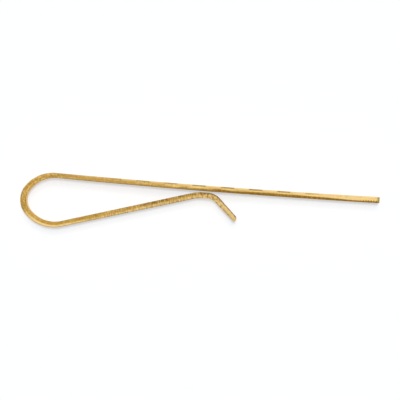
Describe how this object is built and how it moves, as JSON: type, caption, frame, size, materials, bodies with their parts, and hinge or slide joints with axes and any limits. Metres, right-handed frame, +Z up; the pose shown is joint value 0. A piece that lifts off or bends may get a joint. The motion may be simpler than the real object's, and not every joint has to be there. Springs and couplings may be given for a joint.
{
  "type": "tie clip",
  "caption": "Sprung tie clip bent from a flat gold-coloured strip: a long front bar with bright-cut edges, a rounded bow, and a rear arm whose nose holds cloth against the bar.",
  "frame": {"origin": "on the surface the clip lies on, under the middle of its bounding box, with the strip on its edge", "axes": "+X along the front bar from its free tip to the bow, -Y the way the bar's show face looks, +Y from the bar to the rear arm, +Z up across the strip's width"},
  "size_m": [0.0538, 0.0083, 0.005],
  "materials": {
    "satin_gold": "satin gold-coloured metal, filed across the strip, with bright-cut facets"
  },
  "bodies": {
    "front": {"front_bar": "satin_gold"},
    "front_shoulder": {"front_shoulder": "satin_gold"},
    "crown": {"crown": "satin_gold"},
    "back_shoulder": {"back_shoulder": "satin_gold"},
    "arm": {"spring_arm": "satin_gold", "grip_nose": "satin_gold", "lead_in_lip": "satin_gold"}
  },
  "joints": [
    {"name": "bar_root_flex", "type": "hinge", "parent": "front", "child": "front_shoulder", "pos_m": [0.02157, -0.00411, 0.0025], "axis": [0, 0, -1], "range_deg": [0, 4.5], "stiffness_Nm_per_rad": 2.16},
    {"name": "crown_front_flex", "type": "hinge", "parent": "front_shoulder", "child": "crown", "pos_m": [0.02616, -0.0019, 0.0025], "axis": [0, 0, -1], "range_deg": [0, 1.75], "stiffness_Nm_per_rad": 6.8},
    {"name": "crown_back_flex", "type": "hinge", "parent": "crown", "child": "back_shoulder", "pos_m": [0.0259, 0.00236, 0.0025], "axis": [0, 0, -1], "range_deg": [0, 1.75], "stiffness_Nm_per_rad": 6.3},
    {"name": "arm_root_flex", "type": "hinge", "parent": "back_shoulder", "child": "arm", "pos_m": [0.02028, 0.00387, 0.0025], "axis": [0, 0, -1], "range_deg": [0, 4], "stiffness_Nm_per_rad": 2.79}
  ]
}
